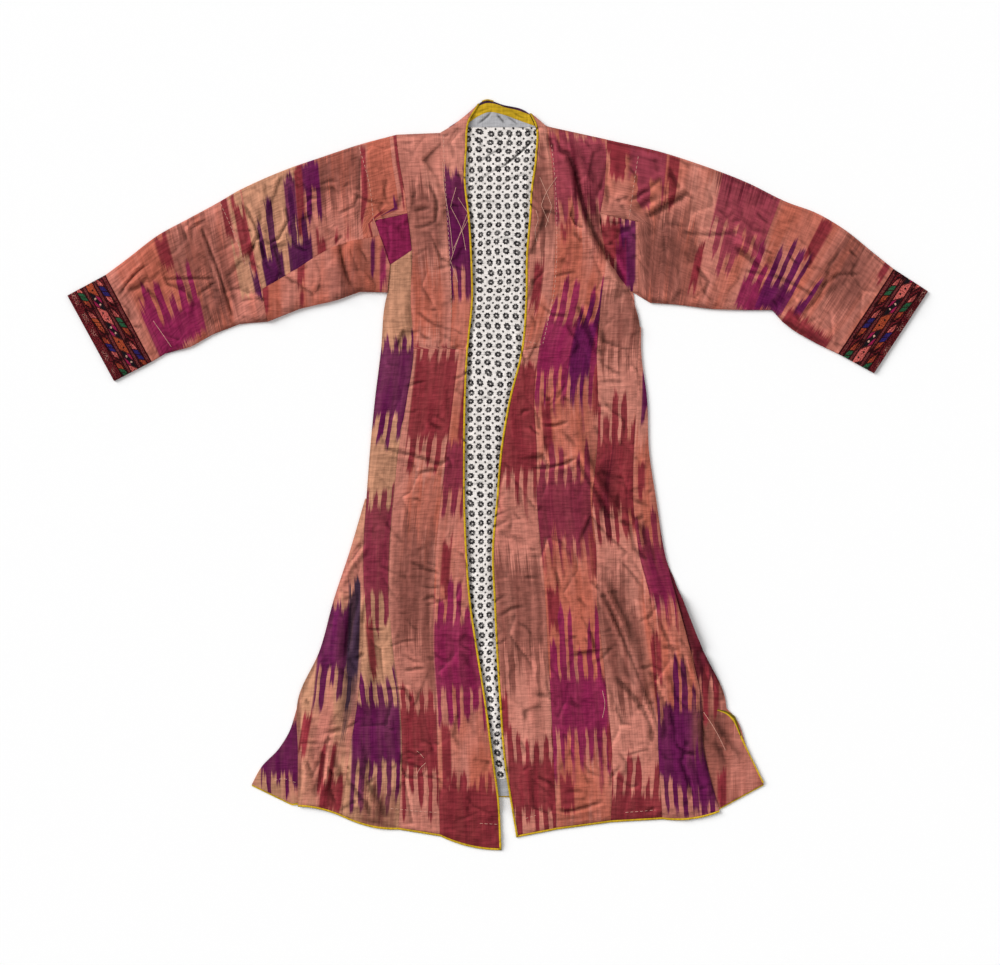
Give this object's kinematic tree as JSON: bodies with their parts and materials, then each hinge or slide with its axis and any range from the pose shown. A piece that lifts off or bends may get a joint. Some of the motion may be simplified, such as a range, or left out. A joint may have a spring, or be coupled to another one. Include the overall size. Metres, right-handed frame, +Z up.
{
  "type": "ikat chapan robe laid flat",
  "caption": "Lined open-front robe in abr ikat cloth, laid flat with its sleeves spread, with neckbands, gussets, gores, bound edges and woven tape cuffs.",
  "frame": {"origin": "on the surface it lies on, below the middle of the laid robe's outline", "axes": "+X towards the wearer's left cuff, +Y towards the neck, +Z up, out of the robe's front"},
  "size_m": [1.419, 1.236, 0.0181],
  "materials": {
    "ikat": "silk and cotton warp ikat in salmon, orange, crimson, purple, tan and brown-grey, fine crosswise ribs, soft sheen",
    "lining_print": "matt off-white printed cotton with rows of small black rings and dots",
    "grey_facing": "matt plain grey-blue cotton",
    "yellow_binding": "mustard yellow bias strip, slightly sheened",
    "cuff_tape": "dark maroon woven tape with lozenges and zigzags in many colours"
  },
  "bodies": {
    "root": {"back_body": "ikat", "right_back_gore": "ikat", "left_back_gore": "ikat", "collar_back": "ikat", "right_front": "ikat", "right_front_wedge": "ikat", "right_side": "ikat", "right_gore": "ikat", "right_gusset": "ikat", "right_sleeve": "ikat", "right_underarm": "ikat", "right_neckband": "ikat", "left_front": "ikat", "left_front_wedge": "ikat", "left_side": "ikat", "left_gore": "ikat", "left_gusset": "ikat", "left_sleeve": "ikat", "left_neckband": "ikat", "back_lining": "lining_print", "back_hem_facing": "grey_facing", "neck_facing_grey": "grey_facing", "right_binding": "yellow_binding", "left_binding": "yellow_binding", "back_binding": "yellow_binding", "neck_facing_yellow": "yellow_binding", "right_cuff": "cuff_tape", "left_cuff": "cuff_tape"}
  },
  "joints": []
}
